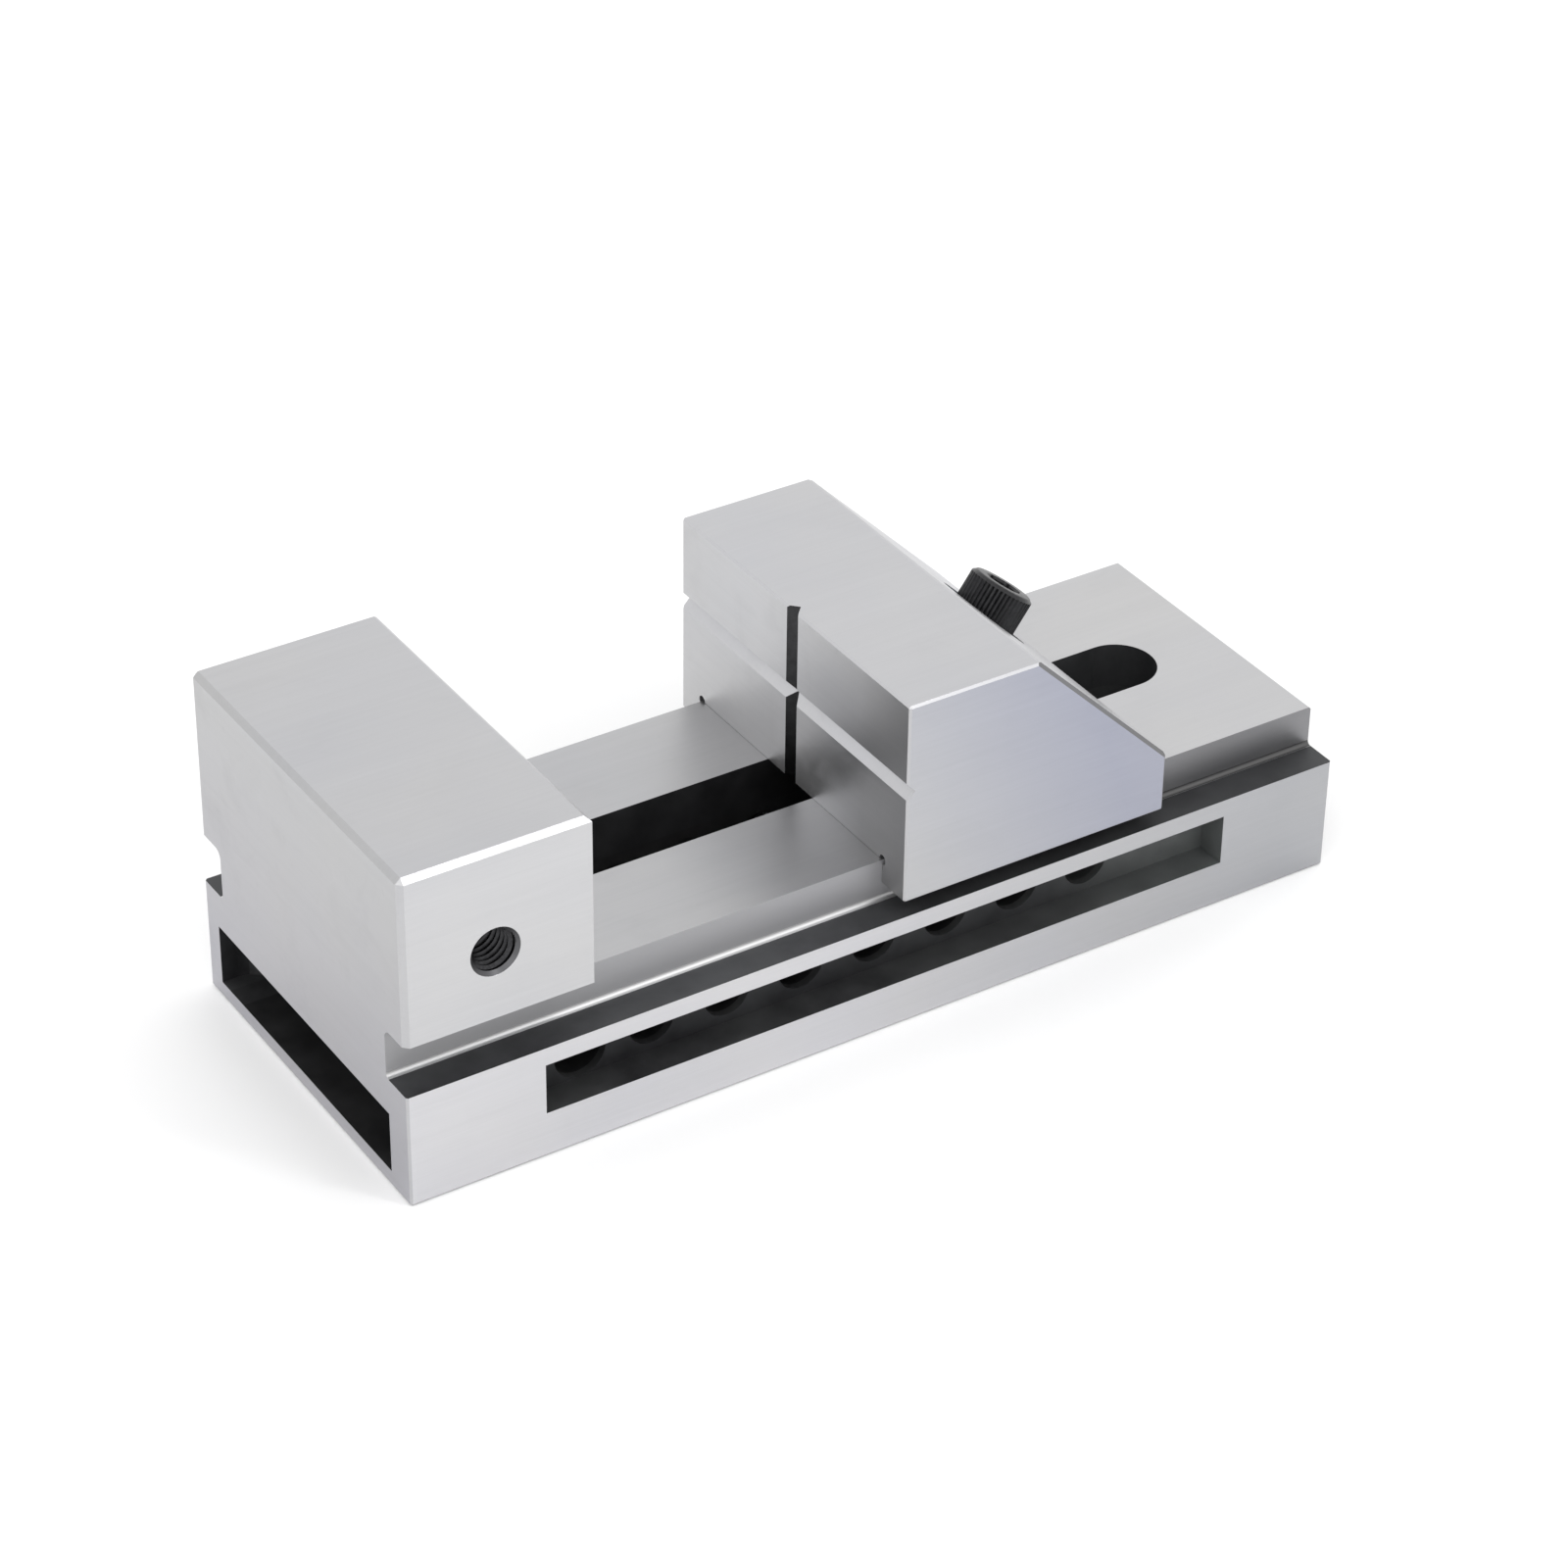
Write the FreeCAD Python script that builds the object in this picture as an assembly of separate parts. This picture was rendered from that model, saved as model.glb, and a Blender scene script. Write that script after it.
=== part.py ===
import FreeCAD, Part
import math
import os

os.makedirs("parts", exist_ok=True)

V = FreeCAD.Vector

# ---------------------------------------------------------------------------
# Driving dimensions, millimetres.  Lengths along X are measured from the end
# face under the fixed jaw; the frame's origin is the middle of the underside.
# ---------------------------------------------------------------------------
LENGTH = 190.0          # whole vise
WIDTH = 73.0            # base and both jaws
HEIGHT = 65.5           # top of both jaws
RAIL_TOP = 30.5         # work seat between the jaws
LEDGE_TOP = 22.5        # top of the wide part of the base
RAIL_WIDTH = 59.0       # outside of the two rails
LEDGE_FILLET = 0.8      # between ledge and rail
EDGE = 0.4              # broken edges
SLOPE_EDGE = 0.7        # broken edges beside the jaw's 45 degree face
FIXED_EDGE = 1.0        # bevel on the fixed jaw's outer edges

FIXED_LEN = 35.5        # fixed jaw along X
GROOVE_ROOF = 32.4      # ceiling of the side groove under the fixed jaw
GROOVE_FILLET = 1.8     # inside corner of that ceiling

STOP_X = 17.2           # tapped hole for a work stop, both sides of the fixed jaw
STOP_Z = 45.6
STOP_R = 4.0            # M8, thread drawn at its outside diameter
STOP_DEPTH = 18.0
STOP_SINK_R = 4.7       # countersink mouth

SLOT_W = 14.6           # slot between the rails
SLOT_END_X = 168.2      # centre of the slot's round end
SLOT_START_X = 35.5     # centre of the hidden round end, under the fixed jaw
CAVITY_X0 = 26.0        # hollow in the underside
CAVITY_X1 = 177.0
CAVITY_W = 44.0
CAVITY_ROOF = 16.0
CAVITY_R = 6.0

NOTCH_R = 4.5           # cross-drilled pull-down notches
NOTCH_Z = 15.0
NOTCH_X0 = 50.0
NOTCH_PITCH = 15.0
NOTCH_COUNT = 7
PIN_HOLE_X = 36.0       # hole the cross pin is put in through
PIN_HOLE_Z = 14.0
PIN_HOLE_R = 5.0

SIDE_SLOT_X0 = 26.0     # clamp slots along both sides
SIDE_SLOT_X1 = 166.0
SIDE_SLOT_Z0 = 9.0
SIDE_SLOT_Z1 = 19.0
SIDE_SLOT_DEPTH = 6.0

END_SLOT_Y0 = -30.0     # clamp slots across both ends
END_SLOT_Y1 = 32.0
END_SLOT_Z0 = 3.2
END_SLOT_Z1 = 15.2
END_SLOT_DEPTH = 8.0
END_SLOT_R = 5.0

JAW_X = 97.0            # clamping face of the movable jaw
JAW_LEN = 55.0
JAW_TOP_LEN = 26.8      # then 45 degrees down to the back face
SKIRT_BOTTOM = 25.5
SLIDE_GAP = 0.05        # sliding clearance to the rails
RELIEF_R = 0.95         # round corner reliefs where the jaw rides on the rails
V_UP_W = 3.6            # upright V groove
V_UP_D = 1.7
V_LEVEL_Z = 48.3        # level V groove
V_LEVEL_W = 3.4
V_LEVEL_D = 1.6

PIVOT_X = 141.6         # ball centre; also the middle of the screw head's end
PIVOT_Z = 56.6
SCREW_DEG = 53.7        # screw axis above the base, as shown
SWING_DEG = 5.0         # room for the screw to lean back towards the face
SEAT_DEG = 51.2         # axis of the washer recess, middle of the swing

SCREW_R = 4.0           # M8
SCREW_LEN = 35.0        # under the head
HEAD_R = 6.2
HEAD_H = 8.0
HEX_AF = 6.0
HEX_DEPTH = 4.2

BALL_R = 12.0           # ball washer and its seat
BALL_GAP = 0.08
BALL_OD_R = 8.0
BALL_BORE_R = 4.25
SEAT_OD_R = 8.75
SEAT_BORE_R = 5.2
SEAT_BOTTOM = 13.4      # below the ball centre, along the recess axis
RECESS_R = 9.0

PIN_FROM_PIVOT = 60.0   # cross pin below the ball centre, along the screw
PIN_R = 4.0
PIN_LEN = 40.0
BLOCK_W = 14.0
BLOCK_HALF = 6.0        # half depth, and radius of the rounded foot
BLOCK_TOP = 28.0        # above the pin
THREAD_R = 4.05
THREAD_DEPTH = 22.0     # from the block's top
GRUB_R = 2.0
GRUB_LEN = 1.8
GRUB_GAP = 0.05

XM = LENGTH / 2.0       # shift to the frame's origin


# ---------------------------------------------------------------------------
# helpers
# ---------------------------------------------------------------------------
def box(x0, x1, y0, y1, z0, z1):
    return Part.makeBox(x1 - x0, y1 - y0, z1 - z0, V(x0, y0, z0))


def prism_y(points, y0, y1):
    """Solid with an outline in the XZ plane, from y0 to y1."""
    pts = [V(x, y0, z) for x, z in points]
    face = Part.Face(Part.makePolygon(pts + [pts[0]]))
    return face.extrude(V(0, y1 - y0, 0))


def prism_z(points, z0, z1):
    pts = [V(x, y, z0) for x, y in points]
    face = Part.Face(Part.makePolygon(pts + [pts[0]]))
    return face.extrude(V(0, 0, z1 - z0))


def cyl(r, p0, p1):
    d = p1 - p0
    return Part.makeCylinder(r, d.Length, p0, d)


def cone(r0, r1, p0, p1):
    d = p1 - p0
    return Part.makeCone(r0, r1, d.Length, p0, d)


def along(deg, s, off=0.0):
    """Point s below the ball centre on a line at deg, off to the tail side."""
    c, n = math.cos(math.radians(deg)), math.sin(math.radians(deg))
    return V(PIVOT_X - s * c + off * n, 0, PIVOT_Z - s * n - off * c)


def rounded_box(x0, x1, y0, y1, z0, z1, r, axis):
    """Box with its four edges along one axis rounded."""
    b = box(x0, x1, y0, y1, z0, z1)
    edges = []
    for e in b.Edges:
        t = e.tangentAt(e.FirstParameter)
        if abs(getattr(t, axis)) > 0.99:
            edges.append(e)
    return b.makeFillet(r, edges)


def straight_edges(shape, test):
    out = []
    for e in shape.Edges:
        if not isinstance(e.Curve, (Part.Line, Part.LineSegment)):
            continue
        a, b = e.Vertexes[0].Point, e.Vertexes[-1].Point
        if test(a, b):
            out.append(e)
    return out


def both(a, b, attr, value, tol=1e-4):
    return abs(getattr(a, attr) - value) < tol and abs(getattr(b, attr) - value) < tol


def both_abs(a, b, attr, value, tol=1e-4):
    return (abs(abs(getattr(a, attr)) - value) < tol
            and abs(abs(getattr(b, attr)) - value) < tol)


def save(shape, name):
    shape = shape.copy()
    shape.translate(V(-XM, 0, 0))
    solids = shape.Solids
    assert len(solids) == 1, (name, len(solids))
    assert solids[0].isValid(), name
    solids[0].exportStep("parts/" + name + ".step")
    return solids[0]


# ---------------------------------------------------------------------------
# vise body: base, rails and fixed jaw from one block
# ---------------------------------------------------------------------------
hw = WIDTH / 2.0
hr = RAIL_WIDTH / 2.0

# cross-section with the ledge fillet, run the full length
body = box(0, LENGTH, -hw, hw, 0, LEDGE_TOP)
body = body.fuse(box(0, LENGTH, -hr, hr, LEDGE_TOP - 1, RAIL_TOP))
body = body.fuse(box(0, FIXED_LEN, -hr, hr, RAIL_TOP - 1, GROOVE_ROOF + 1))
body = body.fuse(box(0, FIXED_LEN, -hw, hw, GROOVE_ROOF, HEIGHT)).removeSplitter()

body = body.makeFillet(LEDGE_FILLET, straight_edges(
    body, lambda a, b: both(a, b, "z", LEDGE_TOP) and both_abs(a, b, "y", hr)))
body = body.makeFillet(GROOVE_FILLET, straight_edges(
    body, lambda a, b: both(a, b, "z", GROOVE_ROOF) and both_abs(a, b, "y", hr)))

# bevels on the fixed jaw: top edges at the end and both sides, and its two
# upright corners at the end; finer ones everywhere else
body = body.makeChamfer(FIXED_EDGE, straight_edges(
    body, lambda a, b: both(a, b, "z", HEIGHT)
    and (both_abs(a, b, "y", hw) or both(a, b, "x", 0))
    or both(a, b, "x", 0) and both_abs(a, b, "y", hw)
    and min(a.z, b.z) > GROOVE_ROOF - 0.1))
body = body.makeChamfer(EDGE, straight_edges(
    body, lambda a, b:
    (both(a, b, "z", 0) and (both_abs(a, b, "y", hw) or both(a, b, "x", 0)
                             or both(a, b, "x", LENGTH)))
    or (both(a, b, "x", LENGTH) and both_abs(a, b, "y", hw)
        and max(a.z, b.z) < LEDGE_TOP + 0.1)
    or (both(a, b, "x", 0) and both_abs(a, b, "y", hw)
        and max(a.z, b.z) < LEDGE_TOP + 0.1)
    or (both(a, b, "z", RAIL_TOP) and both(a, b, "x", LENGTH))))

# slot between the rails, milled from below; it runs on under the fixed jaw
hs = SLOT_W / 2.0
slot = box(SLOT_START_X, SLOT_END_X, -hs, hs, CAVITY_ROOF - 1, RAIL_TOP)
slot = slot.fuse(cyl(hs, V(SLOT_START_X, 0, CAVITY_ROOF - 1), V(SLOT_START_X, 0, RAIL_TOP)))
slot = slot.fuse(cyl(hs, V(SLOT_END_X, 0, CAVITY_ROOF - 1), V(SLOT_END_X, 0, RAIL_TOP)))
open_top = box(FIXED_LEN, SLOT_END_X, -hs, hs, RAIL_TOP - 1, RAIL_TOP + 1)
open_top = open_top.fuse(cyl(hs, V(SLOT_END_X, 0, RAIL_TOP - 1), V(SLOT_END_X, 0, RAIL_TOP + 1)))
slot = slot.fuse(open_top)

# hollow in the underside
hc = CAVITY_W / 2.0
cavity = rounded_box(CAVITY_X0, CAVITY_X1, -hc, hc, -5, CAVITY_ROOF, CAVITY_R, "z")

cuts = [slot, cavity]

# pull-down notches: cross holes from side slot to side slot
wall = hw - SIDE_SLOT_DEPTH
for i in range(NOTCH_COUNT):
    x = NOTCH_X0 + i * NOTCH_PITCH
    cuts.append(cyl(NOTCH_R, V(x, -wall - 1, NOTCH_Z), V(x, wall + 1, NOTCH_Z)))
cuts.append(cyl(PIN_HOLE_R, V(PIN_HOLE_X, -wall - 1, PIN_HOLE_Z),
                V(PIN_HOLE_X, wall + 1, PIN_HOLE_Z)))

# clamp slots along both sides and across both ends
for s in (-1, 1):
    y0, y1 = sorted((s * wall, s * (hw + 2)))
    cuts.append(box(SIDE_SLOT_X0, SIDE_SLOT_X1, y0, y1, SIDE_SLOT_Z0, SIDE_SLOT_Z1))
for x0, x1 in ((-END_SLOT_R - 6, END_SLOT_DEPTH),
               (LENGTH - END_SLOT_DEPTH, LENGTH + END_SLOT_R + 6)):
    cuts.append(rounded_box(x0, x1, END_SLOT_Y0, END_SLOT_Y1,
                            END_SLOT_Z0, END_SLOT_Z1, END_SLOT_R, "z"))

# tapped work-stop holes in both sides of the fixed jaw
for s in (-1, 1):
    def sy(d):
        return V(STOP_X, s * (hw - d), STOP_Z)
    sink = STOP_SINK_R - STOP_R
    cuts.append(cyl(STOP_R, sy(-1), sy(STOP_DEPTH)))
    cuts.append(cone(STOP_R, 0.0, sy(STOP_DEPTH), sy(STOP_DEPTH + STOP_R * 0.577)))
    cuts.append(cone(STOP_SINK_R + 1, STOP_R, sy(-1), sy(sink)))

for c in cuts:
    body = body.cut(c)
body = body.removeSplitter()
vise_body = save(body, "vise_body")

# ---------------------------------------------------------------------------
# movable jaw
# ---------------------------------------------------------------------------
x0, x1 = JAW_X, JAW_X + JAW_LEN
xt = JAW_X + JAW_TOP_LEN
zb = HEIGHT - (JAW_LEN - JAW_TOP_LEN)       # foot of the 45 degree face
outline = [(x0, SKIRT_BOTTOM), (x0, HEIGHT), (xt, HEIGHT), (x1, zb), (x1, SKIRT_BOTTOM)]
jaw = prism_y(outline, -hw, hw)
jaw = jaw.makeChamfer(SLOPE_EDGE, straight_edges(
    jaw, lambda a, b: abs(a.y - b.y) < 1e-4 and abs(a.x - b.x) > 1
    and abs(a.z - b.z) > 1))
jaw = jaw.makeChamfer(EDGE, straight_edges(
    jaw, lambda a, b: (both(a, b, "z", HEIGHT) or both(a, b, "x", x0)
                       or both(a, b, "x", x1) or both(a, b, "z", SKIRT_BOTTOM))
    and (both_abs(a, b, "y", hw) or abs(a.y - b.y) > 60)))

# channel that rides on the rails, with round corner reliefs
ri = hr + SLIDE_GAP
ch_z = RAIL_TOP + SLIDE_GAP
jaw = jaw.cut(box(x0 - 1, x1 + 1, -ri, ri, SKIRT_BOTTOM - 1, ch_z))
for s in (-1, 1):
    jaw = jaw.cut(cyl(RELIEF_R, V(x0 - 1, s * ri, ch_z), V(x1 + 1, s * ri, ch_z)))

# V grooves in the clamping face
e = 0.02
jaw = jaw.cut(prism_z([(x0 - e, -V_UP_W / 2), (x0 + V_UP_D, 0), (x0 - e, V_UP_W / 2)],
                      ch_z - 1, HEIGHT + 1))
jaw = jaw.cut(prism_y([(x0 - e, V_LEVEL_Z - V_LEVEL_W / 2), (x0 + V_LEVEL_D, V_LEVEL_Z),
                       (x0 - e, V_LEVEL_Z + V_LEVEL_W / 2)], -hw - 1, hw + 1))

# recess for the washers, in line with the middle of the screw's swing
jaw = jaw.cut(cyl(RECESS_R, along(SEAT_DEG, SEAT_BOTTOM), along(SEAT_DEG, -8)))

# way for the screw: a slot that leaves room for the swing
lean = SCREW_DEG - SWING_DEG
clear = SCREW_R + 0.6
fan = [along(SCREW_DEG, SEAT_BOTTOM - 1.0, clear), along(SCREW_DEG, 46, clear),
       along(lean, 46, -clear), along(lean, SEAT_BOTTOM - 1.0, -clear)]
jaw = jaw.cut(prism_y([(p.x, p.z) for p in fan], -clear, clear))

# pocket for the top of the pull block
room = BLOCK_HALF + 0.7
pocket = [along(SCREW_DEG, 22.5, room), along(SCREW_DEG, 50, room),
          along(lean, 50, -room), along(lean, 22.5, -room)]
jaw = jaw.cut(prism_y([(p.x, p.z) for p in pocket], -hs, hs))
jaw = jaw.removeSplitter()
movable_jaw = save(jaw, "movable_jaw")

# ---------------------------------------------------------------------------
# washer seat: concave, in the recess
# ---------------------------------------------------------------------------
seat = cyl(SEAT_OD_R, along(SEAT_DEG, SEAT_BOTTOM), along(SEAT_DEG, 6.0))
seat = seat.cut(Part.makeSphere(BALL_R + BALL_GAP, along(SEAT_DEG, 0)))
seat = seat.cut(cyl(SEAT_BORE_R, along(SEAT_DEG, SEAT_BOTTOM + 1), along(SEAT_DEG, 0)))
rim = 0.6
top_s = math.sqrt((BALL_R + BALL_GAP) ** 2 - (SEAT_OD_R - rim) ** 2)
seat = seat.cut(cyl(SEAT_OD_R + 1, along(SEAT_DEG, top_s), along(SEAT_DEG, 0)))
seat = max(seat.Solids, key=lambda s: s.Volume)
save(seat, "washer_seat")

# ---------------------------------------------------------------------------
# ball washer: convex, under the screw head
# ---------------------------------------------------------------------------
ball = Part.makeSphere(BALL_R, along(SCREW_DEG, 0))
ball = ball.common(cyl(BALL_OD_R, along(SCREW_DEG, HEAD_H), along(SCREW_DEG, BALL_R + 1)))
ball = ball.cut(cyl(BALL_BORE_R, along(SCREW_DEG, HEAD_H - 1), along(SCREW_DEG, BALL_R + 1)))
save(ball, "ball_washer")

# ---------------------------------------------------------------------------
# clamping screw: M8 socket head cap screw
# ---------------------------------------------------------------------------
head = cyl(HEAD_R, along(SCREW_DEG, HEAD_H), along(SCREW_DEG, 0))
rims = [e for e in head.Edges if isinstance(e.Curve, Part.Circle)
        and (e.Curve.Center - along(SCREW_DEG, 0)).Length < 1e-3]
head = head.makeChamfer(0.6, rims)
screw = head.fuse(cyl(SCREW_R, along(SCREW_DEG, HEAD_H + SCREW_LEN - 1.0),
                      along(SCREW_DEG, HEAD_H)))
screw = screw.fuse(cone(SCREW_R - 1.0, SCREW_R, along(SCREW_DEG, HEAD_H + SCREW_LEN),
                        along(SCREW_DEG, HEAD_H + SCREW_LEN - 1.0)))
# hexagon socket, flats square to the vise's middle plane
ax = (along(SCREW_DEG, -1) - along(SCREW_DEG, 0)).normalize()
side = V(0, 1, 0)
up = ax.cross(side)
rc = HEX_AF / 2.0 / math.cos(math.radians(30))
c0 = along(SCREW_DEG, HEX_DEPTH)
ring = [c0 + side * (rc * math.cos(math.radians(60 * k))) + up * (rc * math.sin(math.radians(60 * k)))
        for k in range(6)]
hexa = Part.Face(Part.makePolygon(ring + [ring[0]])).extrude(ax * (HEX_DEPTH + 1))
screw = screw.cut(hexa)
screw = screw.cut(cone(0.0, HEX_AF / 2.0, along(SCREW_DEG, HEX_DEPTH + 1.2), c0))
screw = screw.cut(cone(HEX_AF / 2.0 + 0.1, rc + 0.2, along(SCREW_DEG, 0.35), along(SCREW_DEG, -0.05)))
screw = screw.removeSplitter()
save(screw, "clamping_screw")

# ---------------------------------------------------------------------------
# pull block with cross pin and lock screw
# ---------------------------------------------------------------------------
foot = PIN_FROM_PIVOT
top = PIN_FROM_PIVOT - BLOCK_TOP
bp = [along(SCREW_DEG, top, BLOCK_HALF), along(SCREW_DEG, foot, BLOCK_HALF),
      along(SCREW_DEG, foot, -BLOCK_HALF), along(SCREW_DEG, top, -BLOCK_HALF)]
hb = BLOCK_W / 2.0
block = prism_y([(p.x, p.z) for p in bp], -hb, hb)
pc = along(SCREW_DEG, foot)
block = block.fuse(cyl(BLOCK_HALF, V(pc.x, -hb, pc.z), V(pc.x, hb, pc.z))).removeSplitter()
tops = [e for e in block.Edges if isinstance(e.Curve, (Part.Line, Part.LineSegment))
        and all(abs((v.Point - along(SCREW_DEG, top)).dot(ax)) < 1e-3 for v in e.Vertexes)]
block = block.makeChamfer(0.8, tops)
block = block.cut(cyl(THREAD_R, along(SCREW_DEG, top + THREAD_DEPTH), along(SCREW_DEG, top - 1)))
block = block.cut(cyl(PIN_R + 0.02, V(pc.x, -hb - 1, pc.z), V(pc.x, hb + 1, pc.z)))
# lock screw hole: square to the screw, from the fixed jaw's side into the pin
nrm = (along(SCREW_DEG, foot, -1) - along(SCREW_DEG, foot)).normalize()
block = block.cut(cyl(GRUB_R + GRUB_GAP, pc, pc + nrm * (BLOCK_HALF + 1)))
block = block.removeSplitter()
save(block, "pull_block")

pin = cyl(PIN_R, V(pc.x, -PIN_LEN / 2, pc.z), V(pc.x, PIN_LEN / 2, pc.z))
pin = pin.makeChamfer(0.5, [e for e in pin.Edges if isinstance(e.Curve, Part.Circle)])
save(pin, "cross_pin")

g0 = pc + nrm * (PIN_R + 0.02)
grub = cyl(GRUB_R, g0, g0 + nrm * GRUB_LEN)
gside = V(0, 1, 0)
gup = nrm.cross(gside)
grc = 2.0 / 2.0 / math.cos(math.radians(30))
gc = g0 + nrm * 0.6
gring = [gc + gside * (grc * math.cos(math.radians(60 * k))) + gup * (grc * math.sin(math.radians(60 * k)))
         for k in range(6)]
grub = grub.cut(Part.Face(Part.makePolygon(gring + [gring[0]])).extrude(nrm * 3))
save(grub, "pin_lock_screw")
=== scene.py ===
import bpy
import bmesh
import math
from mathutils import Vector, Matrix


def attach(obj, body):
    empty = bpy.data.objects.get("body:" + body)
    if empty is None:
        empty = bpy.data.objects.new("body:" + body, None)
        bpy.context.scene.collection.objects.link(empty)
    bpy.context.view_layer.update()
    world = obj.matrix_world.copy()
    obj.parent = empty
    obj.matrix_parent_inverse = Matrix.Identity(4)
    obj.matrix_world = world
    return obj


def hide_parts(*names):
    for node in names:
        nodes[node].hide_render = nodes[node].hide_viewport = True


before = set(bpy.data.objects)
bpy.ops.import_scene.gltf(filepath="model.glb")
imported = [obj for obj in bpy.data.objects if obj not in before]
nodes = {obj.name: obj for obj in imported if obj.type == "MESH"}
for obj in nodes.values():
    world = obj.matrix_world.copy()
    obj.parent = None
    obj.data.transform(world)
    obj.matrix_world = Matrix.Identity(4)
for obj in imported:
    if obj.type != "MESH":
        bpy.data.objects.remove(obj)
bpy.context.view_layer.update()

MM = 0.001

# ---------------------------------------------------------------------------
# camera: solved from the straight edges of the photograph
# ---------------------------------------------------------------------------
IMAGE = 1600.0
FOCAL_PX = 4735.887
AZ, EL, ROLL = math.radians(-32.903), math.radians(33.892), math.radians(0.816)
OFF_X, OFF_Y, DIST = 0.687, 4.163, 820.873      # millimetres
AIM_Z = 25.0

back = Vector((math.sin(AZ) * math.cos(EL), -math.cos(AZ) * math.cos(EL), math.sin(EL)))
right = (-back).cross(Vector((0, 0, 1))).normalized()
up = right.cross(-back)
r2 = right * math.cos(ROLL) + up * math.sin(ROLL)
u2 = -right * math.sin(ROLL) + up * math.cos(ROLL)
eye = (Vector((0, 0, AIM_Z)) + back * DIST + r2 * OFF_X + u2 * OFF_Y) * MM

cam_data = bpy.data.cameras.new("camera")
cam = bpy.data.objects.new("camera", cam_data)
bpy.context.scene.collection.objects.link(cam)
cam.matrix_world = Matrix((
    (r2.x, u2.x, back.x, eye.x),
    (r2.y, u2.y, back.y, eye.y),
    (r2.z, u2.z, back.z, eye.z),
    (0, 0, 0, 1)))
cam_data.sensor_width = 36.0
cam_data.lens = 36.0 * FOCAL_PX / IMAGE
cam_data.clip_start, cam_data.clip_end = 0.05, 20.0
bpy.context.scene.camera = cam


# ---------------------------------------------------------------------------
# node helpers
# ---------------------------------------------------------------------------
class Nodes:
    """Short forms for building a material's node tree."""

    def __init__(self, name):
        self.mat = bpy.data.materials.new(name)
        self.mat.use_nodes = True
        self.t = self.mat.node_tree
        self.t.nodes.clear()
        self.out = self.t.nodes.new("ShaderNodeOutputMaterial")
        self.bsdf = self.t.nodes.new("ShaderNodeBsdfPrincipled")
        self.t.links.new(self.bsdf.outputs[0], self.out.inputs[0])
        self.coord = self.t.nodes.new("ShaderNodeTexCoord")
        self.geom = self.t.nodes.new("ShaderNodeNewGeometry")

    def node(self, kind, **inputs):
        n = self.t.nodes.new(kind)
        for k, v in inputs.items():
            self.put(n.inputs[k], v)
        return n

    def put(self, socket, v):
        if isinstance(v, bpy.types.NodeSocket):
            self.t.links.new(v, socket)
        else:
            socket.default_value = v

    def math(self, op, a, b=0.0, c=0.0, clamp=False):
        n = self.t.nodes.new("ShaderNodeMath")
        n.operation = op
        n.use_clamp = clamp
        for s, v in zip(n.inputs, (a, b, c)):
            self.put(s, v)
        return n.outputs[0]

    def vec(self, op, a, b=(0, 0, 0)):
        n = self.t.nodes.new("ShaderNodeVectorMath")
        n.operation = op
        self.put(n.inputs[0], a)
        if op not in ("ABSOLUTE", "NORMALIZE", "LENGTH"):
            self.put(n.inputs[1], b)
        return n.outputs[0]

    def split(self, v):
        n = self.t.nodes.new("ShaderNodeSeparateXYZ")
        self.put(n.inputs[0], v)
        return n.outputs

    def join(self, x, y, z):
        n = self.t.nodes.new("ShaderNodeCombineXYZ")
        for s, v in zip(n.inputs, (x, y, z)):
            self.put(s, v)
        return n.outputs[0]

    def noise(self, vector, scale, detail=2.0, rough=0.5, distortion=0.0):
        n = self.t.nodes.new("ShaderNodeTexNoise")
        self.put(n.inputs["Vector"], vector)
        n.inputs["Scale"].default_value = scale
        n.inputs["Detail"].default_value = detail
        n.inputs["Roughness"].default_value = rough
        n.inputs["Distortion"].default_value = distortion
        return n.outputs[0]

    def ramp(self, fac, stops, mode="LINEAR"):
        n = self.t.nodes.new("ShaderNodeValToRGB")
        n.color_ramp.interpolation = mode
        e = n.color_ramp.elements
        while len(e) > 1:
            e.remove(e[-1])
        e[0].position, e[0].color = stops[0][0], (*stops[0][1], 1)
        for p, c in stops[1:]:
            k = e.new(p)
            k.color = (*c, 1)
        self.put(n.inputs[0], fac)
        return n.outputs[0]

    def remap(self, v, a, b, c, d):
        n = self.t.nodes.new("ShaderNodeMapRange")
        for s, x in zip(n.inputs, (v, a, b, c, d)):
            self.put(s, x)
        return n.outputs[0]

    def mix(self, fac, a, b):
        """Mix of two colours."""
        n = self.t.nodes.new("ShaderNodeMix")
        n.data_type = "RGBA"
        self.put(n.inputs[0], fac)
        self.put(n.inputs[6], a if isinstance(a, bpy.types.NodeSocket) else (*a, 1))
        self.put(n.inputs[7], b if isinstance(b, bpy.types.NodeSocket) else (*b, 1))
        return n.outputs[2]

    def mixf(self, fac, a, b):
        n = self.t.nodes.new("ShaderNodeMix")
        n.data_type = "FLOAT"
        self.put(n.inputs[0], fac)
        self.put(n.inputs[2], a)
        self.put(n.inputs[3], b)
        return n.outputs[0]

    def bump(self, height, strength, distance, normal=None):
        n = self.t.nodes.new("ShaderNodeBump")
        n.inputs["Strength"].default_value = strength
        n.inputs["Distance"].default_value = distance
        self.put(n.inputs["Height"], height)
        if normal is not None:
            self.put(n.inputs["Normal"], normal)
        return n.outputs[0]

    def in_box(self, p, centre, half):
        """1 inside a box of the object's own space, given in millimetres."""
        d = self.vec("SUBTRACT", self.vec("ABSOLUTE", self.vec(
            "SUBTRACT", p, tuple(v * MM for v in centre))), tuple(v * MM for v in half))
        x, y, z = self.split(d)
        return self.math("LESS_THAN", self.math("MAXIMUM", self.math("MAXIMUM", x, y), z), 0.0)


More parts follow.
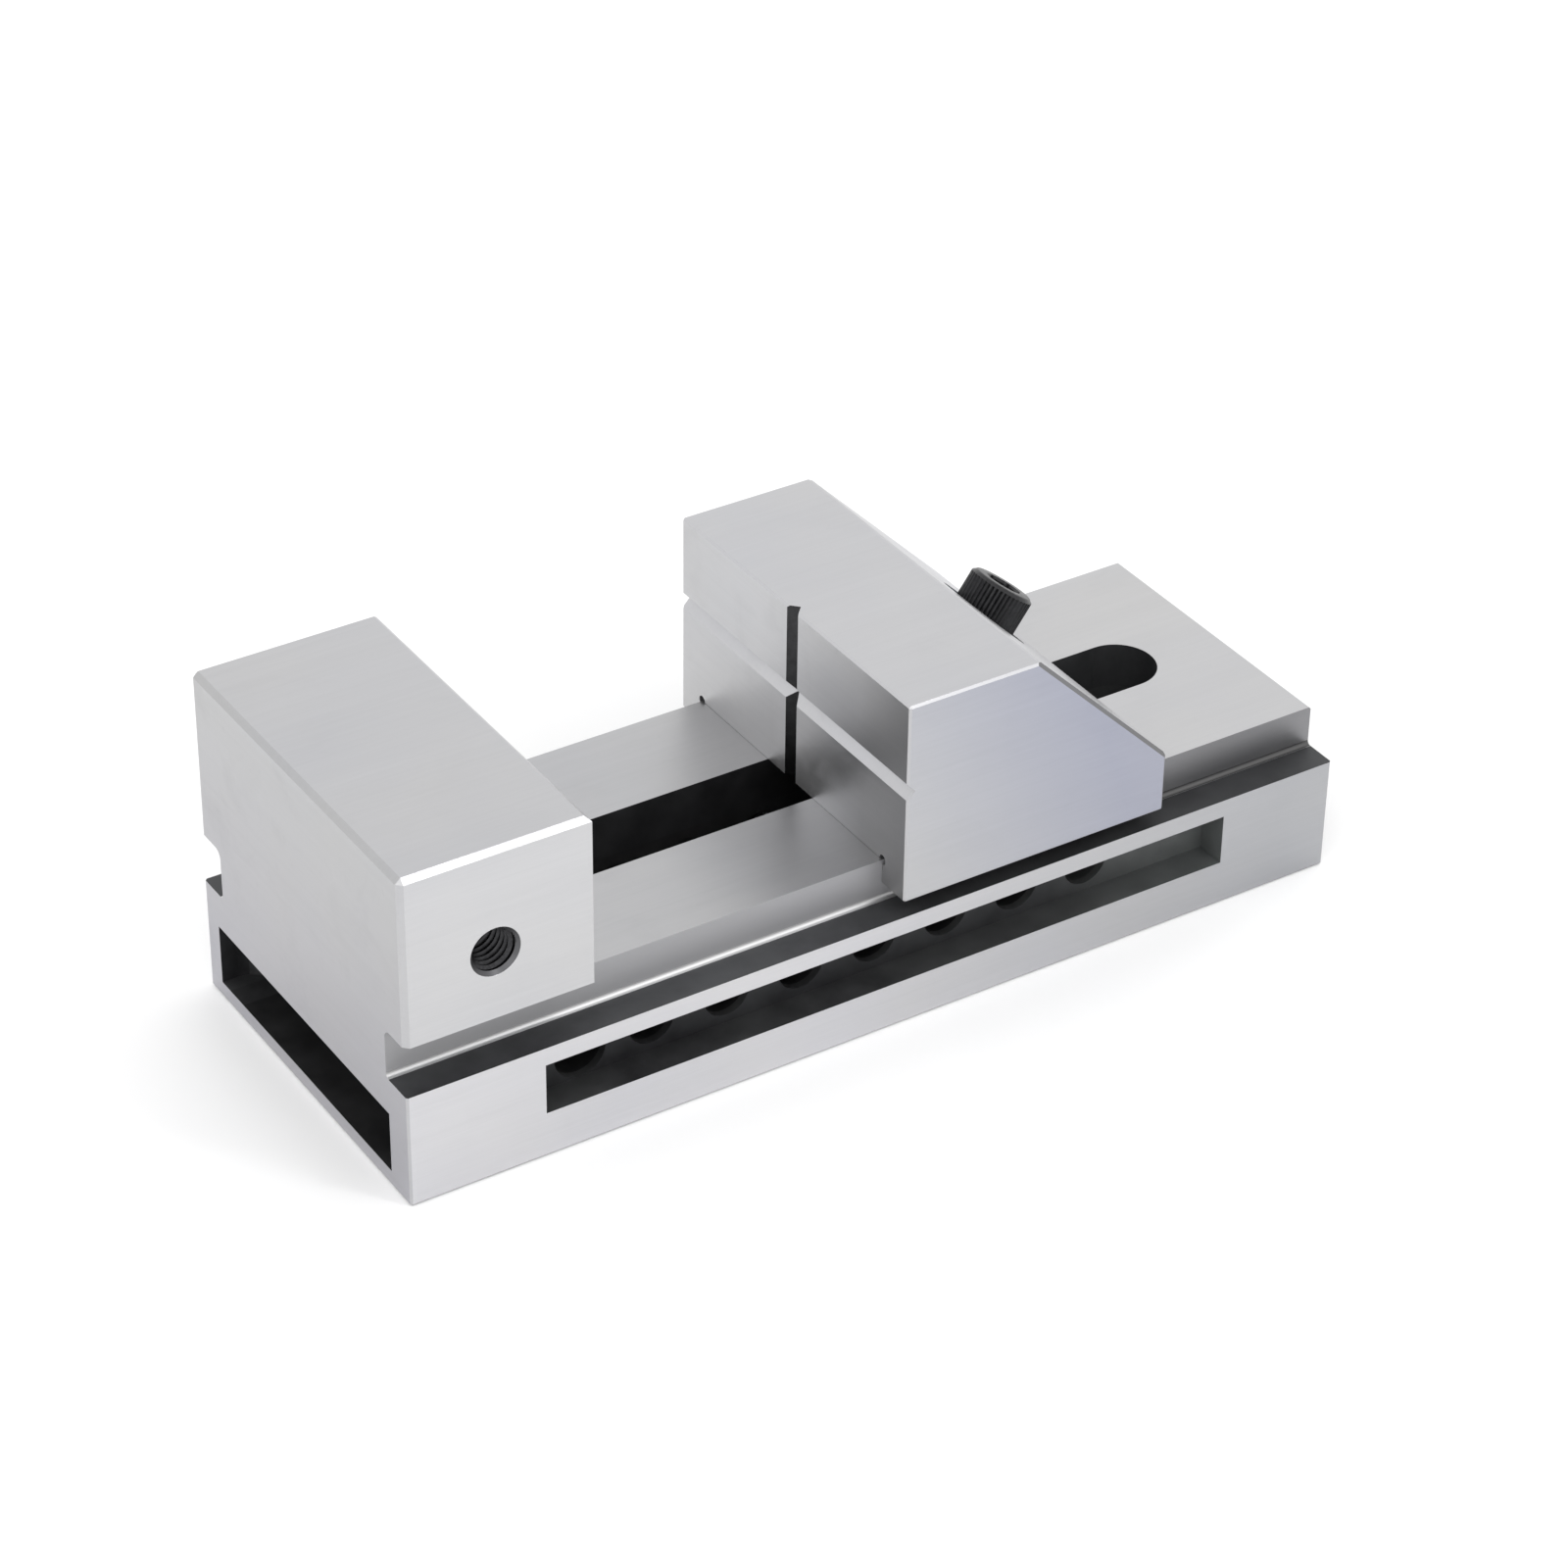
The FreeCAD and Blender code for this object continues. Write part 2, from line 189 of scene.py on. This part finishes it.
# ---------------------------------------------------------------------------
# materials
# ---------------------------------------------------------------------------
def ground_steel(name, dark_boxes=(), shaded_boxes=(), deeper_shade_boxes=(), shading=None, paint_light=None,
                 clamp_rough=0.0):
    """Fine-ground steel; the grinding lines run along X, on end faces along Y.
    Inside dark_boxes (milled and hardened, not ground) it is black, with painted shade
    darker still in the recess boxes; inside the shaded boxes, where the shading function
    allows it, it takes painted shade. The painted-light function paints light, shade and reflection on each ground
    face."""
    m = Nodes(name)
    p = m.coord.outputs["Object"]
    nx, ny, nz = m.split(m.vec("ABSOLUTE", m.geom.outputs["True Normal"]))
    end_face = m.math("GREATER_THAN", nx, 0.8)
    x, y, z = m.split(p)
    ax, ay = m.math("ABSOLUTE", x), m.math("ABSOLUTE", y)
    # coordinates along and across the lay of the grinding
    run = m.mixf(end_face, x, y)
    cross_a = m.mixf(end_face, y, z)
    cross_b = m.mixf(end_face, z, x)
    lay = m.join(m.math("MULTIPLY", run, 0.014), cross_a, cross_b)
    fine = m.noise(lay, 6400.0, 3.0, 0.65)
    coarse = m.noise(lay, 1100.0, 2.0, 0.5)
    broad = m.noise(lay, 160.0, 1.0, 0.5)
    cloud = m.noise(p, 26.0, 2.0, 0.5)
    speck = m.noise(p, 520.0, 2.0, 0.6)
    scuff = m.noise(m.join(m.math("MULTIPLY", x, 0.6), y, z), 95.0, 3.0, 0.62, 0.6)

    col = m.ramp(cloud, [(0.3, (0.500, 0.502, 0.520)), (0.7, (0.528, 0.526, 0.532))])
    line = m.math("ADD", m.math("ADD", m.math("MULTIPLY", m.math("SUBTRACT", fine, 0.5), 0.050),
                                m.math("MULTIPLY", m.math("SUBTRACT", coarse, 0.5), 0.030)),
                  m.math("MULTIPLY", m.math("SUBTRACT", broad, 0.5), 0.020))
    col = m.vec("ADD", col, m.join(line, line, line))
    # painted light, shade and reflection multiplied onto the ground faces
    if paint_light:
        col = m.vec("MULTIPLY", col, paint_light(m, x, y, z, nx, ny, nz, cloud))
    rough = m.math("ADD", m.remap(cloud, 0.3, 0.7, 0.35, 0.41),
                   m.math("MULTIPLY", m.math("SUBTRACT", fine, 0.5), 0.08))
    rough = m.math("ADD", rough, m.remap(speck, 0.64, 0.78, 0.0, 0.05))
    rough = m.math("ADD", rough, m.remap(scuff, 0.52, 0.72, 0.0, 0.07))
    if clamp_rough:
        rough = m.math("ADD", rough, m.math("MULTIPLY", end_face, clamp_rough))
    metal = 1.0
    hgt = m.math("ADD", fine, m.math("MULTIPLY", coarse, 0.5))

    def region(boxes):
        got = None
        for centre, half, fold in boxes:
            q = m.join(ax if "x" in fold else x, ay if "y" in fold else y, z)
            b = m.in_box(q, centre, half)
            got = b if got is None else m.math("MAXIMUM", got, b)
        return got

    # painted shade in the tapped holes and on the flanks of the upright groove
    if shaded_boxes:
        where, shade = shading(m, x, z, nx, ny, nz, m.noise(p, 700.0, 3.0, 0.6))
        where = m.math("MULTIPLY", region(shaded_boxes), where)
        col = m.mix(where, col, shade)
        rough = m.mixf(where, rough, 0.42)
    if dark_boxes:
        dark = region(dark_boxes)
        mott = m.noise(p, 150.0, 4.0, 0.6)
        wide = m.noise(p, 30.0, 2.0, 0.5)
        black = m.ramp(mott, [(0.3, (0.022, 0.022, 0.024)), (0.7, (0.050, 0.051, 0.053))])
        black = m.mix(m.remap(wide, 0.35, 0.7, 0.0, 0.6), black, (0.078, 0.081, 0.081))
        # painted shade: darker still deep in the recesses
        if deeper_shade_boxes:
            black = m.mix(region(deeper_shade_boxes), black, m.ramp(
                mott, [(0.3, (0.012, 0.012, 0.013)), (0.7, (0.025, 0.025, 0.026))]))
        # painted light in the side slots, brighter towards the tail, and painted shade on their back walls away
        # from the tail
        low = m.math("MULTIPLY", m.math("LESS_THAN", z, 0.0205), m.math("GREATER_THAN", ay, 0.0290))
        slot_painted_light = m.math("MULTIPLY", low, m.remap(x, 0.038, 0.072, 0.0, 0.066))
        back = m.math("MULTIPLY", m.math("MULTIPLY", low, m.math("GREATER_THAN", ny, 0.9)),
                      m.remap(x, 0.035, 0.060, 1.0, 0.0))
        black = m.vec("MULTIPLY", black, m.mix(back, (1.0, 1.0, 1.0), (0.50, 0.50, 0.52)))
        black = m.vec("MULTIPLY", black, m.mix(low, (1.0, 1.0, 1.0), (1.28, 1.28, 1.28)))
        black = m.vec("ADD", black, m.join(slot_painted_light, m.math("MULTIPLY", slot_painted_light, 1.1), m.math("MULTIPLY", slot_painted_light, 1.06)))
        # painted light and shade on the ledges: lighter around x -35 mm, darker from x 0 towards the tail, a
        # little lighter again at the very tail
        ledge = m.math("GREATER_THAN", z, 0.0215)
        ledge_painted_light = m.math("MULTIPLY", m.remap(x, -0.080, -0.035, 0.95, 1.24), m.remap(x, -0.015, 0.012, 1.0, 0.48))
        ledge_painted_light = m.math("ADD", ledge_painted_light, m.remap(x, 0.050, 0.068, 0.0, 0.21))
        black = m.vec("MULTIPLY", black, m.mix(ledge, (1.0, 1.0, 1.0),
                                               m.join(ledge_painted_light, ledge_painted_light, m.math("MULTIPLY", ledge_painted_light, 1.03))))
        col = m.mix(dark, col, black)
        rough = m.mixf(dark, rough, m.remap(mott, 0.3, 0.7, 0.40, 0.56))
        metal = m.mixf(dark, 1.0, 0.45)
    if dark_boxes:
        # walls between ledges and rails: milled, duller towards the fixed jaw
        wall = m.math("MULTIPLY", region([((0.0, 29.55, 28.0), (95.2, 0.45, 4.62), "y")]),
                      m.math("GREATER_THAN", ny, 0.3))
        wall = m.math("MULTIPLY", wall, m.remap(x, -0.095, 0.075, 1.0, 0.1))
        col = m.mix(wall, col, (0.36, 0.36, 0.37))
        rough = m.mixf(wall, rough, 0.60)
        metal = m.mixf(wall, metal, 0.40)
        # fillet at their foot: painted highlight, bright towards the fixed jaw and fading into painted shade
        # towards the tail
        foot = m.math("MULTIPLY", region([((0.0, 29.95, 22.93), (95.2, 0.5, 0.44), "y")]),
                      m.math("GREATER_THAN", ny, 0.06))
        fillet_painted_highlight = m.remap(m.math("ADD", x, m.math("MULTIPLY", m.math("SUBTRACT", cloud, 0.5), 0.06)),
                        -0.015, 0.065, 0.66, 0.11)
        col = m.mix(foot, col, m.join(fillet_painted_highlight, fillet_painted_highlight, fillet_painted_highlight))
        rough = m.mixf(foot, rough, 0.48)
    m.put(m.bsdf.inputs["Base Color"], col)
    m.put(m.bsdf.inputs["Roughness"], rough)
    m.put(m.bsdf.inputs["Metallic"], metal)
    m.put(m.bsdf.inputs["Normal"], m.bump(hgt, 0.12, 0.000015))
    return m.mat


def black_oxide(name, base=0.02, rough_lo=0.30, rough_hi=0.44):
    m = Nodes(name)
    p = m.coord.outputs["Object"]
    mott = m.noise(p, 900.0, 4.0, 0.6)
    col = m.ramp(mott, [(0.3, (base, base, base * 1.08)), (0.7, (base * 1.9, base * 1.9, base * 2.0))])
    m.put(m.bsdf.inputs["Base Color"], col)
    m.put(m.bsdf.inputs["Roughness"], m.remap(mott, 0.3, 0.7, rough_lo, rough_hi))
    m.bsdf.inputs["Metallic"].default_value = 0.75
    m.put(m.bsdf.inputs["Normal"], m.bump(mott, 0.15, 0.00004))
    return m.mat


def turned_steel(name, lo=(0.52, 0.52, 0.53), hi=(0.62, 0.62, 0.63)):
    m = Nodes(name)
    p = m.coord.outputs["Object"]
    n = m.noise(p, 1500.0, 3.0, 0.6)
    m.put(m.bsdf.inputs["Base Color"], m.ramp(n, [(0.3, lo), (0.7, hi)]))
    m.put(m.bsdf.inputs["Roughness"], m.remap(n, 0.3, 0.7, 0.24, 0.36))
    m.bsdf.inputs["Metallic"].default_value = 1.0
    m.put(m.bsdf.inputs["Normal"], m.bump(n, 0.15, 0.00002))
    return m.mat


BODY_DARK = [
    # centre and half sizes in mm; the letters say which coordinates are folded
    ((1.0, 33.5, 14.0), (70.15, 2.97, 5.12), "y"),        # side clamp slots
    ((6.5, 0.0, 11.3), (75.8, 30.56, 10.9), "y"),         # hollow, cross holes
    ((6.75, 0.0, 26.2), (73.95, 7.37, 4.26), "y"),        # slot between the rails
    ((90.93, 1.0, 9.2), (4.04, 31.08, 6.12), "x"),         # end clamp slots
    ((0.0, 33.42, 22.5), (95.2, 3.05, 0.05), "y"),        # ledges
]
# boxes of painted shade, darker still, deep in the recesses
BODY_RECESS_SHADE = [
    ((90.93, -3.0, 9.2), (4.0, 27.0, 6.12), "x"),
    ((-13.5, 0.0, 11.3), (54.0, 29.0, 10.9), "y"),
    ((-13.5, 0.0, 26.2), (54.0, 7.37, 4.26), "y"),
]
# boxes of painted shade: the tapped holes and the flanks of the upright groove
BODY_SHADED = [((-77.8, 25.2, 45.6), (4.9, 11.27, 4.9), "y")]   # tapped holes
JAW_SHADED = [((4.0, 0.0, 46.0), (1.98, 1.88, 20.0), "")]       # upright groove


def hole_painted_shade(m, x, z, nx, ny, nz, mill):
    """Painted shade in the tapped holes: near-black walls and dark grey countersinks."""
    wall = m.ramp(mill, [(0.3, (0.020, 0.020, 0.022)), (0.7, (0.042, 0.042, 0.045))])
    return m.math("LESS_THAN", ny, 0.95), m.mix(m.math("GREATER_THAN", ny, 0.4), wall, (0.11, 0.11, 0.115))


def groove_painted_shade(m, x, z, nx, ny, nz, mill):
    """Painted shade on the flanks of the upright groove, darker towards its foot."""
    shade = m.ramp(mill, [(0.3, (0.062, 0.062, 0.064)), (0.7, (0.088, 0.088, 0.091))])
    foot = m.remap(z, 0.031, 0.060, 0.30, 1.0)
    return (m.math("MULTIPLY", m.math("GREATER_THAN", ny, 0.4), m.math("LESS_THAN", ny, 0.95)),
            m.vec("MULTIPLY", shade, m.join(foot, foot, foot)))


def body_painted_light(m, x, y, z, nx, ny, nz, cloud):
    """Painted light, shade and reflection on the ground faces of the body."""
    # long sides: painted reflection, lighter towards the fixed jaw, darker and bluer towards the tail, the base
    # below the ledges lighter still at the fixed-jaw end; tops painted a little darker at the fixed-jaw end
    drift = m.math("ADD", x, m.math("MULTIPLY", m.math("SUBTRACT", cloud, 0.5), 0.03))
    side = m.math("GREATER_THAN", ny, 0.9)
    upper = m.mix(m.remap(drift, -0.060, 0.090, 0.0, 1.0), (1.085, 1.085, 1.080), (0.80, 0.81, 0.83))
    lower = m.mix(m.remap(drift, -0.020, 0.085, 0.0, 1.0), (1.215, 1.21, 1.215), (0.785, 0.795, 0.81))
    top = m.remap(x, -0.090, 0.020, 0.95, 1.0)
    c = m.mix(side, m.join(top, top, top), m.mix(m.math("LESS_THAN", z, 0.0226), upper, lower))
    # walls between ledges and rails, painted shade darker towards the tail
    wall = m.math("MULTIPLY", m.math("MULTIPLY", side, m.math("GREATER_THAN", z, 0.0226)),
                  m.math("LESS_THAN", z, 0.0306))
    wall_shade = m.remap(x, -0.010, 0.070, 0.90, 0.46)
    c = m.mix(wall, c, m.join(wall_shade, wall_shade, m.math("MULTIPLY", wall_shade, 1.02)))
    # painted shade on the end face under the fixed jaw, darker low down, and on the bevel above it
    end = m.math("MULTIPLY", m.math("GREATER_THAN", nx, 0.9), m.math("LESS_THAN", x, -0.0945))
    c = m.mix(end, c, m.mix(m.remap(z, 0.010, 0.060, 0.0, 1.0), (0.875, 0.868, 0.90), (0.925, 0.925, 0.915)))
    brow = m.math("MULTIPLY", m.math("MULTIPLY", m.math("GREATER_THAN", nx, 0.4), m.math("GREATER_THAN", nz, 0.4)),
                  m.math("LESS_THAN", x, -0.093))
    c = m.mix(brow, c, (0.85, 0.85, 0.84))
    # work seat in front of the movable jaw: painted shade and reflection, deepest on the near rail just in front
    # of the jaw's face
    seat = m.math("MULTIPLY", m.math("MULTIPLY", m.math("GREATER_THAN", nz, 0.9), m.math("LESS_THAN", z, 0.0310)),
                  m.math("GREATER_THAN", z, 0.0300))
    seat_shade = m.remap(x, 0.004, 0.030, 0.885, 1.0)
    near_jaw_shade = m.math("MULTIPLY", m.remap(x, -0.032, -0.006, 0.0, 1.0), m.remap(x, 0.004, 0.034, 1.0, 0.0))
    seat_shade = m.math("MULTIPLY", seat_shade, m.mixf(near_jaw_shade, 1.0, m.remap(y, -0.026, -0.004, 0.82, 1.0)))
    return m.mix(seat, c, m.join(seat_shade, seat_shade, m.math("MULTIPLY", seat_shade, 0.995)))


def jaw_painted_light(m, x, y, z, nx, ny, nz, cloud):
    """Painted shade and reflection on the long sides and clamping face of the movable jaw, and darker rims beside
    the sloping face.
    """
    # long sides: painted shade and reflection, darker and bluer along a slant towards the tail
    drift = m.math("ADD", m.math("ADD", x, m.math("MULTIPLY", m.math("SUBTRACT", z, 0.045), 0.55)),
                   m.math("MULTIPLY", m.math("SUBTRACT", cloud, 0.5), 0.02))
    side = m.math("GREATER_THAN", ny, 0.9)
    c = m.mix(m.remap(drift, -0.002, 0.042, 0.0, 1.0), (0.955, 0.960, 0.965), (0.705, 0.725, 0.835))
    c = m.mix(side, (1.0, 1.0, 1.0), c)
    # clamping face: painted reflection, lighter on the far side, with separate bands at its foot and head
    face = m.math("GREATER_THAN", nx, 0.9)
    across = m.remap(y, -0.0365, 0.0365, 0.0, 1.0)
    foot = m.ramp(across, [(g, (v / 2, v / 2, v / 2)) for g, v in (
        (0.04, 0.76), (0.18, 0.85), (0.27, 1.07), (0.34, 1.24), (0.42, 1.32), (0.50, 1.28),
        (0.58, 1.12), (0.70, 1.12), (0.80, 1.08), (0.95, 1.10))])
    head = m.ramp(across, [(g, (v / 2, v / 2, v / 2)) for g, v in (
        (0.02, 0.80), (0.10, 0.94), (0.20, 1.10), (0.30, 1.12), (0.38, 1.11), (0.64, 1.15),
        (0.82, 1.09), (1.0, 1.06))])
    lit = m.vec("MULTIPLY", m.mix(m.remap(z, 0.034, 0.056, 0.0, 1.0), foot, head), (2.0, 2.0, 1.98))
    c = m.mix(face, c, lit)
    # broken edges beside the sloping face
    rim = m.math("MULTIPLY", m.math("LESS_THAN", m.math("ABSOLUTE", m.math("SUBTRACT", ny, 0.7)), 0.1),
                 m.math("LESS_THAN", m.math("ABSOLUTE", m.math("SUBTRACT", nz, nx)), 0.1))
    return m.mix(m.math("MULTIPLY", rim, m.math("GREATER_THAN", nx, 0.3)), c, (0.36, 0.36, 0.36))


mat_body = ground_steel("ground_steel_body", BODY_DARK, BODY_SHADED, BODY_RECESS_SHADE, hole_painted_shade, body_painted_light)
mat_jaw = ground_steel("ground_steel_jaw", (), JAW_SHADED, (), groove_painted_shade, jaw_painted_light, clamp_rough=0.07)
mat_black = black_oxide("black_oxide")
mat_pin = turned_steel("hardened_pin")
# threads in the work-stop holes: painted shade, near black like the hole walls
mat_thread = turned_steel("thread_painted_shade", (0.030, 0.030, 0.032), (0.060, 0.060, 0.063))

finish = {"vise_body": mat_body, "movable_jaw": mat_jaw, "clamping_screw": mat_black,
          "ball_washer": mat_black, "washer_seat": mat_pin, "pull_block": mat_black,
          "cross_pin": mat_pin, "pin_lock_screw": mat_black}
for name, mat in finish.items():
    o = nodes[name]
    o.data.materials.clear()
    o.data.materials.append(mat)


# ---------------------------------------------------------------------------
# pieces with more detail than the CAD carries
# ---------------------------------------------------------------------------
PIVOT = Vector((46.6, 0.0, 56.6))
SCREW = math.radians(53.7)
DOWN = Vector((-math.cos(SCREW), 0.0, -math.sin(SCREW)))    # from the head to the tip
SIDE = Vector((0.0, 1.0, 0.0))
OUT = SIDE.cross(DOWN)


def mesh_piece(name, verts, faces, mats, smooth=True, face_mats=None):
    me = bpy.data.meshes.new(name)
    me.from_pydata([tuple(v * MM) for v in verts], [], faces)
    for m in mats:
        me.materials.append(m)
    bm = bmesh.new()
    bm.from_mesh(me)
    bmesh.ops.recalc_face_normals(bm, faces=bm.faces)
    bm.to_mesh(me)
    bm.free()
    for i, poly in enumerate(me.polygons):
        poly.use_smooth = smooth
        if face_mats:
            poly.material_index = face_mats[i]
    me.update()
    o = bpy.data.objects.new(name, me)
    bpy.context.scene.collection.objects.link(o)
    return o


def sharp(o, degrees):
    """Smooth shading that breaks at edges sharper than an angle."""
    bm = bmesh.new()
    bm.from_mesh(o.data)
    limit = math.radians(degrees)
    for e in bm.edges:
        e.smooth = not (len(e.link_faces) == 2 and e.calc_face_angle(0.0) > limit)
    bm.to_mesh(o.data)
    bm.free()


def ring_at(s, radii, n, turn=0.0):
    """n points round the screw's axis at depth s below the pivot; radii is a
    number or a function of the angle."""
    out = []
    for k in range(n):
        a = 2 * math.pi * k / n + turn
        r = radii(a) if callable(radii) else radii
        out.append(PIVOT + DOWN * s + (SIDE * math.cos(a) + OUT * math.sin(a)) * r)
    return out


def socket_screw():
    """Socket head cap screw: knurled head, hexagon socket, rolled thread."""
    head_r, head_h, af, depth = 6.15, 8.0, 6.0, 4.2
    teeth, per = 44, 6
    n = teeth * per

    def knurl(amount):
        def r(a):
            t = (a * teeth / (2 * math.pi)) % 1.0
            tooth = 1.0 - abs(2.0 * t - 1.0)            # 0 at the root, 1 at the crest
            return head_r - amount * (1.0 - min(1.0, tooth * 1.45))
        return r

    def hexagon(grow=0.0):
        def r(a):
            b = (a + math.pi / 6) % (math.pi / 3) - math.pi / 6
            return (af / 2 + grow) / math.cos(b)
        return r

    verts, faces = [], []

    def band(a, b):
        for k in range(n):
            j = (k + 1) % n
            faces.append((a + k, a + j, b + j, b + k))

    def add(ring):
        verts.extend(ring)
        return len(verts) - n

    # hexagon turned so that two flats are square to the middle plane
    quarter = math.pi / 6
    rings = [
        add(ring_at(depth + 1.05, 0.4, n)),                     # drill point
        add(ring_at(depth + 0.02, 2.72, n)),
        add(ring_at(depth, lambda a: hexagon()(a - quarter), n)),
        add(ring_at(0.42, lambda a: hexagon()(a - quarter), n)),
        add(ring_at(0.10, lambda a: max(hexagon()(a - quarter), 3.36), n)),
        add(ring_at(0.0, 3.50, n)),
        add(ring_at(0.0, 5.30, n)),
        add(ring_at(0.06, 5.48, n)),
        add(ring_at(0.30, 5.72, n)),
        add(ring_at(0.62, knurl(0.05), n)),
        add(ring_at(0.95, knurl(0.34), n)),
        add(ring_at(7.35, knurl(0.34), n)),
        add(ring_at(7.62, knurl(0.05), n)),
        add(ring_at(7.90, 5.92, n)),
        add(ring_at(8.0, 5.75, n)),
        add(ring_at(8.0, 4.35, n)),
        add(ring_at(8.12, 4.08, n)),
        add(ring_at(8.4, 3.96, n)),
        add(ring_at(10.2, 3.96, n)),
        add(ring_at(10.9, 3.34, n)),
    ]
    for a, b in zip(rings, rings[1:]):
        band(a, b)
    centre = len(verts)
    verts.append(PIVOT + DOWN * (depth + 1.25))
    for k in range(n):
        faces.append((centre, rings[0] + (k + 1) % n, rings[0] + k))

    # core of the thread down to the tip
    m = n
    tip = [add(ring_at(41.9, 3.34, m)), add(ring_at(42.75, 2.9, m)), add(ring_at(42.95, 2.6, m))]
    band(rings[-1], tip[0])
    band(tip[0], tip[1])
    band(tip[1], tip[2])
    end = len(verts)
    verts.append(PIVOT + DOWN * 43.0)
    for k in range(n):
        faces.append((end, tip[2] + k, tip[2] + (k + 1) % n))
    return verts, faces


def helix(frame_of, pitch, z0, z1, root, crest, steps=40, root_w=0.90, crest_w=0.16, fade=0.6):
    """A thread's ridge as one closed body. frame_of(z, angle, r) gives a point."""
    turns = (z1 - z0) / pitch
    count = int(turns * steps) + 1
    verts, faces = [], []
    for i in range(count):
        t = i / (count - 1)
        a = 2 * math.pi * turns * t
        z = z0 + (z1 - z0) * t
        near_end = min(t, 1 - t) * turns / fade
        g = min(1.0, near_end)
        top = root + (crest - root) * g
        w, c = root_w * pitch / 2 * (0.35 + 0.65 * g), crest_w * pitch / 2 * (0.35 + 0.65 * g)
        verts += [frame_of(z - w, a, root), frame_of(z - c, a, top),
                  frame_of(z + c, a, top), frame_of(z + w, a, root)]
    for i in range(count - 1):
        for k in range(4):
            j = (k + 1) % 4
            a, b = 4 * i, 4 * i + 4
            faces.append((a + k, a + j, b + j, b + k))
    faces.append((3, 2, 1, 0))
    e = 4 * (count - 1)
    faces.append((e, e + 1, e + 2, e + 3))
    return verts, faces


sv, sf = socket_screw()
tv, tf = helix(lambda z, a, r: PIVOT + DOWN * z + (SIDE * math.cos(a) - OUT * math.sin(a)) * r,
               1.25, 10.9, 42.4, 3.25, 3.94, steps=36)
base = len(sv)
screw = mesh_piece("socket_head_screw", sv + tv, sf + [tuple(i + base for i in f) for f in tf],
                   [mat_black])
sharp(screw, 28)
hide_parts("clamping_screw")
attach(screw, "clamping_screw")

# threads in the two work-stop holes
for word, s in (("near", -1), ("far", 1)):
    hv, hf = helix(lambda z, a, r, s=s: Vector((-77.8 + math.cos(a) * r, s * (36.5 - z),
                                               45.6 - s * math.sin(a) * r)),
                   1.25, 0.75, 16.6, 4.04, 3.36, steps=44, fade=0.8)
    th = mesh_piece("stop_thread_" + word, hv, hf, [mat_thread])
    sharp(th, 28)
    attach(th, "vise_body")


# ---------------------------------------------------------------------------
# studio: floor, soft boxes
# ---------------------------------------------------------------------------
def floor():
    me = bpy.data.meshes.new("floor")
    s, z = 3.0, -0.00005                                    # clear of the underside
    me.from_pydata([(-s, -s, z), (s, -s, z), (s, s, z), (-s, s, z)], [], [(0, 1, 2, 3)])
    o = bpy.data.objects.new("floor", me)
    bpy.context.scene.collection.objects.link(o)
    m = Nodes("floor_white")
    m.bsdf.inputs["Base Color"].default_value = (0.92, 0.92, 0.92, 1)
    m.bsdf.inputs["Roughness"].default_value = 0.9
    m.bsdf.inputs["Specular IOR Level"].default_value = 0.1
    me.materials.append(m.mat)


def soft_box(name, at, size, power, look=(0, 0, 0.03), colour=(1, 1, 1)):
    d = bpy.data.lights.new(name, "AREA")
    d.shape = "RECTANGLE"
    d.size, d.size_y = size
    d.energy = power
    d.color = colour
    o = bpy.data.objects.new(name, d)
    bpy.context.scene.collection.objects.link(o)
    o.location = at
    o.rotation_mode = "QUATERNION"
    o.rotation_quaternion = (Vector(look) - Vector(at)).to_track_quat("-Z", "Y")
    return o


floor()
soft_box("key", (-0.72, -0.62, 0.68), (1.1, 1.1), 2.9, look=(-0.12, -0.14, 0.0))
soft_box("strip", (0.14, -0.35, 0.462), (0.08, 0.20), 0.42, look=(-0.06, -0.03, 0.04))

# studio walls: soft light all round, brighter behind the vise
world = bpy.data.worlds.new("studio")
world.use_nodes = True
bpy.context.scene.world = world
wt = world.node_tree
bg = wt.nodes["Background"]
wc = wt.nodes.new("ShaderNodeTexCoord")
dot = wt.nodes.new("ShaderNodeVectorMath")
dot.operation = "DOT_PRODUCT"
dot.inputs[1].default_value = Vector((0.451, 0.697, 0.558)).normalized()
wt.links.new(wc.outputs["Generated"], dot.inputs[0])
wr = wt.nodes.new("ShaderNodeMapRange")
wr.interpolation_type = "SMOOTHSTEP"
for sock, v in zip((1, 2, 3, 4), (-0.1, 0.85, 1.14, 1.15)):
    wr.inputs[sock].default_value = v
wt.links.new(dot.outputs["Value"], wr.inputs[0])
bg.inputs[0].default_value = (1.0, 1.0, 1.0, 1)
wt.links.new(wr.outputs[0], bg.inputs[1])

bpy.context.scene.view_settings.view_transform = "Standard"
bpy.context.scene.view_settings.look = "None"
